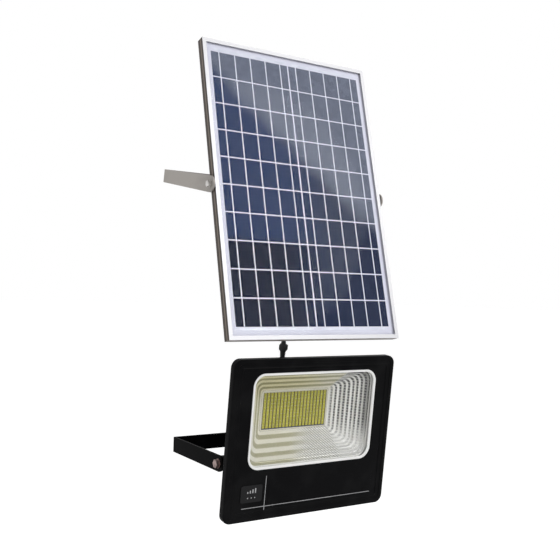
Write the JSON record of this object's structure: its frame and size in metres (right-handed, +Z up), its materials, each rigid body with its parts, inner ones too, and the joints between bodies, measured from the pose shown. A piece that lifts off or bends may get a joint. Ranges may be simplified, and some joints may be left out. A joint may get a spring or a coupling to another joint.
{
  "type": "solar flood light",
  "caption": "Framed solar panel on a tilting bracket, joined by a lead with a screw connector to a wide flood lamp on its own tilting bracket.",
  "frame": {"origin": "centre of the rear face of the lamp bracket's base, where the wall is", "axes": "+Z up, -Y out of the wall towards the viewer, +X to the viewer's right"},
  "size_m": [0.3839, 0.264, 0.8278],
  "materials": {
    "black_paint": "satin powder coat",
    "smoked_window": "gloss",
    "lamp_glass": "clear tempered glass",
    "mirror_coat": "metallised plastic",
    "led_board_white": "white solder mask",
    "phosphor": "yellow phosphor",
    "thermal_pad": "matte",
    "seal_rubber": "matte",
    "stainless": "bright steel",
    "cell_wrap": "shrink wrap",
    "holder_plastic": "moulded",
    "circuit_board": "green solder mask",
    "component_black": "moulded",
    "gland_nylon": "moulded nylon",
    "lead_jacket": "satin rubber",
    "connector_seal_red": "matte",
    "anodised_frame": "anodised satin",
    "panel_glass": "low-iron solar glass",
    "silicon_cell": "polycrystalline silicon",
    "tin_ribbon": "tinned copper ribbon",
    "white_backsheet": "white polymer sheet",
    "sealant": "white silicone",
    "terminal_ceramic": "ceramic",
    "bracket_steel": "galvanised steel strip",
    "rivet_zinc": "yellow zinc"
  },
  "bodies": {
    "root": {"lamp_bracket": "black_paint", "panel_bracket": "bracket_steel", "panel_lead_upper": "lead_jacket", "panel_lead_drop": "lead_jacket", "lead_coil": "lead_jacket", "coil_ties": "gland_nylon", "connector_socket": "gland_nylon", "connector_seal": "connector_seal_red", "connector_plug": "gland_nylon"},
    "lamp": {"lamp_front_frame": "black_paint", "display_window": "smoked_window", "front_glass": "lamp_glass", "glass_gasket": "seal_rubber", "reflector": "mirror_coat", "led_board": "led_board_white", "led_chips": "phosphor", "thermal_pad": "thermal_pad", "rear_housing": "black_paint", "housing_seal": "seal_rubber", "frame_screws": "stainless", "battery_cells": "cell_wrap", "battery_holder": "holder_plastic", "controller_board": "circuit_board", "controller_parts": "component_black", "display_board": "circuit_board", "battery_cover": "black_paint", "battery_cover_seal": "seal_rubber", "battery_cover_screws": "stainless", "cable_gland_body": "gland_nylon", "cable_gland_nut": "gland_nylon", "cable_gland_seal": "seal_rubber", "lamp_pivot_bolts": "stainless", "lamp_pivot_washers": "stainless", "lamp_lead": "lead_jacket"},
    "panel": {"panel_frame_top": "anodised_frame", "panel_frame_bottom": "anodised_frame", "panel_frame_left": "anodised_frame", "panel_frame_right": "anodised_frame", "panel_corner_keys": "anodised_frame", "panel_glass": "panel_glass", "solar_cells": "silicon_cell", "cell_ribbons": "tin_ribbon", "backsheet": "white_backsheet", "laminate_seal": "sealant", "junction_box": "gland_nylon", "junction_box_lid": "gland_nylon", "junction_box_boot": "lead_jacket", "terminal_block": "terminal_ceramic", "bypass_diode": "component_black", "panel_pivot_bolts": "stainless", "panel_pivot_washers": "stainless", "panel_rivet_nuts": "rivet_zinc"},
    "collar": {"connector_collar": "gland_nylon"}
  },
  "joints": [
    {"name": "lamp_tilt", "type": "hinge", "parent": "root", "child": "lamp", "pos_m": [0, -0.18, 0], "axis": [1, 0, 0], "range_deg": [-8, 54]},
    {"name": "panel_tilt", "type": "hinge", "parent": "root", "child": "panel", "pos_m": [-0.024, -0.1892, 0.469], "axis": [-1, 0, 0], "range_deg": [-10, 28]},
    {"name": "collar_turn", "type": "hinge", "parent": "root", "child": "collar", "pos_m": [-0.05, -0.18944, 0.19508], "axis": [0, -0.1045, 0.9945], "continuous": true}
  ]
}
